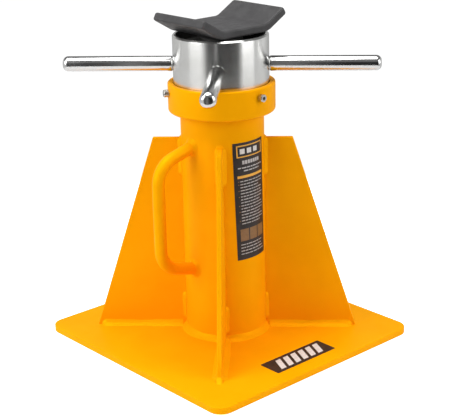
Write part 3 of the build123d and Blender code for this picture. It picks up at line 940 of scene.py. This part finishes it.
def build_column_label(film, white, grey, orange, brown):
    """Film with generic print. Layout numbers are millimetres from its top left corner."""
    top = LABEL_MIDDLE + LABEL_HEIGHT / 2
    left = -LABEL_WIDTH / 2
    surface = COLUMN_RADIUS + FILM
    base = gather("column_label_film", [
        wrapped_patch(left, -left, top - LABEL_HEIGHT, top, COLUMN_RADIUS, FILM)
    ])
    finish_piece(base, film, "stand", "label_film", "column_label")

    def mark(u0, u1, v0, v1):
        """Printed block, u to the right and v down."""
        sides = (left + u0 * MM, left + u1 * MM)
        ends = (top - v1 * MM, top - v0 * MM)
        return wrapped_patch(*sides, *ends, surface, INK)

    inset = 4.2
    edge = 40.7

    def marks(count, start, pitch, width, v0, v1):
        """Equal blocks side by side, the first one a start right of the inset."""
        firsts = [inset + start + pitch * k for k in range(count)]
        return [mark(u, u + width, v0, v1) for u in firsts]

    random.seed(11)

    def text_row(v, start, end, height=1.0):
        """Dashes of uneven length in place of a line of print."""
        row = []
        u = start
        while u < end - 1.0:
            stop = min(u + random.uniform(2.0, 6.0), end)
            row.append(mark(u, stop, v, v + height))
            u = stop + random.uniform(0.7, 1.1)
        return row

    line = 1.3
    frame_top, frame_foot = 3.0, 16.8
    band_top, band_foot = 37.6, 40.6
    oranges = [
        mark(inset, edge, frame_top, frame_top + line),
        mark(inset, edge, frame_foot - line, frame_foot),
        mark(inset, inset + line, frame_top + line, frame_foot - line),
        mark(edge - line, edge, frame_top + line, frame_foot - line),
        mark(inset, edge, band_top, band_foot),
    ]
    whites = marks(3, 4, 9, 6, 7.0, 12.8)
    greys = marks(7, 6.5, 3.6, 2.8, 20.6, 24.8)
    boxes = marks(3, 0.6, 12.2, 10.8, 100.4, 114.6)
    heading = 1.3
    small = text_row(28.2, inset + 1, edge - 1, heading)
    small += text_row(31.8, inset + 8, edge - 6, heading)
    bullets = []
    rows = 15
    row_pitch = 3.55
    first_row = 43.8
    bulleted = (0, 1, 3, 5, 8, 10, 13)
    for k in range(rows):
        v = first_row + row_pitch * k
        if k in bulleted:
            bullets += marks(1, 0.4, 0, 1.3, v, v + 1.15)
        ragged = random.uniform(0.5, 2.0 if k in bulleted else 8.0)
        small += text_row(v, inset + 3.0, edge - ragged)
    last_rows = 4
    last_pitch = 3.7
    last_start = 118.4
    for k in range(last_rows):
        ragged = random.uniform(0.5, 5.0)
        small += text_row(last_start + last_pitch * k, inset + 0.6, edge - ragged)
    finish_piece(gather("column_label_orange", oranges), orange, "stand", "label_film")
    finish_piece(gather("column_label_white", whites), white, "stand", "label_film")
    finish_piece(gather("column_label_grey", greys + small), grey, "stand", "label_film")
    finish_piece(gather("column_label_brown", bullets + boxes), brown, "stand", "label_film")


def build_base_label(film, white):
    """Film on the plate with slanted stripes in place of its print."""
    low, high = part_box("base_label")
    middle = (low + high) / 2
    corners = [
        (low.x, low.y, FILM_CORNER),
        (high.x, low.y, FILM_CORNER),
        (high.x, high.y, FILM_CORNER),
        (low.x, high.y, FILM_CORNER),
    ]
    outline = rounded(corners, 5)
    level = Matrix.Identity(4)
    sheet = prism("base_label_film", outline, low.z, high.z, level, FILM_EDGE_ROUND, 1)
    finish_piece(sheet, film, "stand", "label_film", "base_label")
    count = 6
    slant = 9 * MM
    bar = 7.4 * MM
    pitch = 11.6 * MM
    margin = 9.5 * MM
    tall = high.y - middle.y - 4.5 * MM
    faces = [(3, 2, 1, 0), (4, 5, 6, 7)]
    faces += [(i, (i + 1) % 4, 4 + (i + 1) % 4, 4 + i) for i in range(4)]
    stripes = []
    for k in range(count):
        x = low.x + margin + pitch * k
        ring = [
            (x, middle.y - tall),
            (x + bar, middle.y - tall),
            (x + bar + slant, middle.y + tall),
            (x + slant, middle.y + tall),
        ]
        stripes.append(([(px, py, z) for z in (high.z, high.z + INK) for px, py in ring], faces))
    finish_piece(gather("base_label_stripes", stripes), white, "stand", "label_film")


# ---------------------------------------------------------------- stage

CAMERA_SIDE = math.radians(-131.6)
FLOOR_RADIUS = 0.62
FLOOR_DROP = 0.4 * MM
# Tone of the surroundings at each angle from the camera's side of the object, in degrees
SIDE_TONES = (
    (-180, 0.42), (-150, 0.62), (-122, 0.75), (-42, 0.78),
    (-34, 0.16), (-27, 0.07), (-16, 0.07), (-11, 0.34),
    (-6, 0.03), (20, 0.015), (34, 0.06), (41, 0.10),
    (50, 0.60), (120, 0.85), (150, 0.50), (180, 0.42),
)
SKY_TONE = 0.2
SKY_START = 0.27
SKY_FULL = 0.5
BACKDROP_STRENGTH = 1.05


def build_world():
    """White to the camera; for light and reflections a ring of studio tones round the object."""
    world = bpy.data.worlds.new("studio")
    bpy.context.scene.world = world
    world.use_nodes = True
    tree = world.node_tree
    tree.nodes.clear()
    new = tree.nodes.new
    link = tree.links.new
    turned = new("ShaderNodeMapping")
    turned.inputs["Rotation"].default_value[2] = -CAMERA_SIDE
    link(new("ShaderNodeTexCoord").outputs["Generated"], turned.inputs["Vector"])
    split = new("ShaderNodeSeparateXYZ")
    link(turned.outputs["Vector"], split.inputs[0])
    azimuth = new("ShaderNodeMath")
    azimuth.operation = "ARCTAN2"
    link(split.outputs["Y"], azimuth.inputs[0])
    link(split.outputs["X"], azimuth.inputs[1])
    turn = new("ShaderNodeMapRange")
    turn.inputs["From Min"].default_value = -math.pi
    turn.inputs["From Max"].default_value = math.pi
    link(azimuth.outputs[0], turn.inputs["Value"])
    sides = new("ShaderNodeValToRGB")
    link(turn.outputs["Result"], sides.inputs["Fac"])
    ramp = sides.color_ramp
    while len(ramp.elements) < len(SIDE_TONES):
        ramp.elements.new(0.5)
    for element, (angle, tone) in zip(ramp.elements, SIDE_TONES):
        element.position = (angle + 180) / 360
        element.color = (tone, tone, tone, 1)
    height = new("ShaderNodeMapRange")
    height.inputs["From Min"].default_value = SKY_START
    height.inputs["From Max"].default_value = SKY_FULL
    link(split.outputs["Z"], height.inputs["Value"])
    tones = new("ShaderNodeMix")
    tones.data_type = "RGBA"
    link(height.outputs["Result"], tones.inputs["Factor"])
    link(sides.outputs["Color"], tones.inputs[6])
    tones.inputs[7].default_value = (SKY_TONE, SKY_TONE, SKY_TONE, 1)
    seen = new("ShaderNodeBackground")
    seen.inputs["Color"].default_value = (1, 1, 1, 1)
    seen.inputs["Strength"].default_value = BACKDROP_STRENGTH
    around = new("ShaderNodeBackground")
    link(tones.outputs[2], around.inputs["Color"])
    choose = new("ShaderNodeMixShader")
    link(new("ShaderNodeLightPath").outputs["Is Camera Ray"], choose.inputs["Fac"])
    link(around.outputs[0], choose.inputs[1])
    link(seen.outputs[0], choose.inputs[2])
    link(choose.outputs[0], new("ShaderNodeOutputWorld").inputs["Surface"])


def studio(right, toward, up):
    """Point given in metres to the camera's right, toward the camera, and up."""
    t = Vector((math.cos(CAMERA_SIDE), math.sin(CAMERA_SIDE), 0))
    r = Vector((-t.y, t.x, 0))
    return r * right + t * toward + Vector((0, 0, up))


def add_softbox(name, place, width, height, power):
    data = bpy.data.lights.new(name, "AREA")
    data.shape = "RECTANGLE"
    data.size = width
    data.size_y = height
    data.energy = power
    lamp = bpy.data.objects.new(name, data)
    aim = (Vector((0, 0, 0.2)) - place).to_track_quat("-Z", "Y")
    lamp.matrix_world = Matrix.Translation(place) @ aim.to_matrix().to_4x4()
    lamp.visible_camera = False
    bpy.context.scene.collection.objects.link(lamp)


def build_floor():
    rim = 96
    turns = [2 * math.pi * i / rim for i in range(rim)]
    ring = [(FLOOR_RADIUS * math.cos(a), FLOOR_RADIUS * math.sin(a)) for a in turns]
    points = [(x, y, -FLOOR_DROP) for x, y in ring]
    floor = add_piece("floor", points, [tuple(range(rim))])
    pale = bpy.data.materials.new("pale_floor")
    pale.use_nodes = True
    tree = pale.node_tree
    shader = tree.nodes["Principled BSDF"]
    shader.inputs["Base Color"].default_value = (0.82, 0.82, 0.82, 1)
    shader.inputs["Roughness"].default_value = 0.9
    shader.inputs["Emission Color"].default_value = (1, 1, 1, 1)
    seen = tree.nodes.new("ShaderNodeLightPath").outputs["Is Camera Ray"]
    tree.links.new(seen, shader.inputs["Emission Strength"])
    floor.data.materials.append(pale)


def build_stage():
    build_floor()
    build_world()
    add_softbox("top", studio(-0.1, 0.1, 1.7), 1.3, 1.5, 29)
    add_softbox("key", studio(-1.5, 0.8, 1.0), 1.1, 1.3, 20.5)
    add_softbox("right", studio(1.6, 0.7, 0.8), 1.1, 1.3, 13.5)
    bpy.context.scene.view_settings.view_transform = "Standard"


# ---------------------------------------------------------------- making it

build_camera()

PAINT = yellow_paint()
CHROME = bright_chrome()
SADDLE = dark_saddle()
FILM_DARK = label_film()
SLOT_MATERIALS = {
    "yellow_paint": PAINT,
    "turned_steel": turned_steel(),
    "bright_chrome": CHROME,
    "dark_saddle": SADDLE,
    "screw_steel": plain_metal("screw_steel", (0.42, 0.41, 0.4), 0.26, 0.42),
    "plain_steel": plain_metal("plain_steel", (0.40, 0.39, 0.38), 0.38, 0.55),
    "bearing_steel": plain_metal("bearing_steel", (0.62, 0.62, 0.62), 0.12, 0.22),
    "brass_cage": plain_metal("brass_cage", (0.70, 0.50, 0.20), 0.25, 0.4),
    "zinc_hardware": plain_metal("zinc_hardware", (0.62, 0.61, 0.58), 0.2, 0.34),
    "black_oxide": plain_metal("black_oxide", (0.06, 0.06, 0.062), 0.35, 0.5),
    "label_film": FILM_DARK,
}
slots = {part["node"]: part["material_slot"] for part in frame["record"]["subparts"]}
for node_name, node in frame["nodes"].items():
    node.data.materials.clear()
    node.data.materials.append(SLOT_MATERIALS[slots[node_name]])

build_plate(PAINT)
build_column(PAINT)
for place, turn in GUSSET_TURN.items():
    build_gusset(place, turn, PAINT)
    build_gusset_welds(place, turn, PAINT)
build_ring_welds(PAINT, SADDLE)
build_handle(PAINT)
build_nut(SLOT_MATERIALS["turned_steel"], dark_grease_and_shade())
for place, turn in BAR_TURN.items():
    build_bar(place, turn, CHROME)
build_screw(SLOT_MATERIALS["screw_steel"])
build_saddle(SADDLE)
WHITE = ink("ink_white", (0.72, 0.70, 0.68))
GREY = ink("ink_grey", (0.50, 0.48, 0.47))
ORANGE = ink("ink_orange", (0.86, 0.42, 0.04))
BROWN = ink("ink_brown", (0.24, 0.12, 0.035))
build_column_label(FILM_DARK, WHITE, GREY, ORANGE, BROWN)
build_base_label(FILM_DARK, WHITE)
build_stage()
